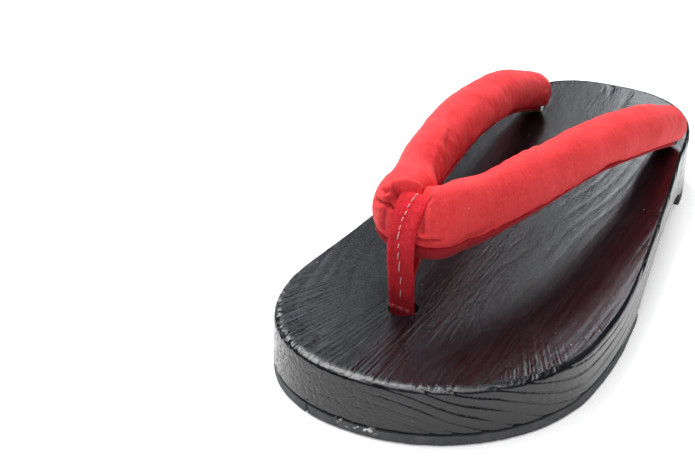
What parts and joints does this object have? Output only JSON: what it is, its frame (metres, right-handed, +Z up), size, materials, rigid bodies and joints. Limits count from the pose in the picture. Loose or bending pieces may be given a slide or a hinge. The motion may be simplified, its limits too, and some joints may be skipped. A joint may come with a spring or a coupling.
{
  "type": "wooden clog",
  "caption": "Low black wooden clog with an arched underside, rubber soles and a padded red two-armed strap held down by a felt toe thong.",
  "frame": {"origin": "on the ground, below the middle of the base's outline", "axes": "+X towards the toe, +Y towards the outer side of the foot, +Z up"},
  "size_m": [0.258, 0.1164, 0.0706],
  "materials": {
    "black_wood": "burnt and lacquered, raised grain",
    "rubber": "matt",
    "red_cloth": "fine crepe",
    "red_felt": "felt",
    "thong_felt": "felt",
    "wadding": "cotton wadding",
    "hemp_cord": "twisted cord",
    "steel": "tinned sheet"
  },
  "bodies": {
    "clog": {"wooden_base": "black_wood", "front_sole": "rubber", "heel_sole": "rubber", "cover_fold": "red_cloth", "lining_fold": "red_felt", "padding_fold": "wadding", "core_cord_fold": "hemp_cord", "thong_loop": "thong_felt", "thong_cord": "hemp_cord", "thong_knot": "hemp_cord", "rear_cord_inner": "hemp_cord", "rear_cord_outer": "hemp_cord", "rear_knot_inner": "hemp_cord", "rear_knot_outer": "hemp_cord", "knot_cap": "steel", "cap_nail_inner": "steel", "cap_nail_outer": "steel"},
    "inner_arm": {"cover_inner": "red_cloth", "lining_inner": "red_felt", "padding_inner": "wadding", "core_cord_inner": "hemp_cord"},
    "outer_arm": {"cover_outer": "red_cloth", "lining_outer": "red_felt", "padding_outer": "wadding", "core_cord_outer": "hemp_cord"}
  },
  "joints": [
    {"name": "inner_arm_swing", "type": "hinge", "parent": "clog", "child": "inner_arm", "pos_m": [-0.09152, -0.02878, 0.03019], "axis": [0.9849, 0.0384, 0.1686], "range_deg": [-10, 10], "stiffness_Nm_per_rad": 0.12},
    {"name": "outer_arm_swing", "type": "hinge", "parent": "clog", "child": "outer_arm", "pos_m": [-0.08437, 0.03482, 0.02958], "axis": [0.9636, -0.2037, 0.1732], "range_deg": [-10, 10], "stiffness_Nm_per_rad": 0.12}
  ]
}
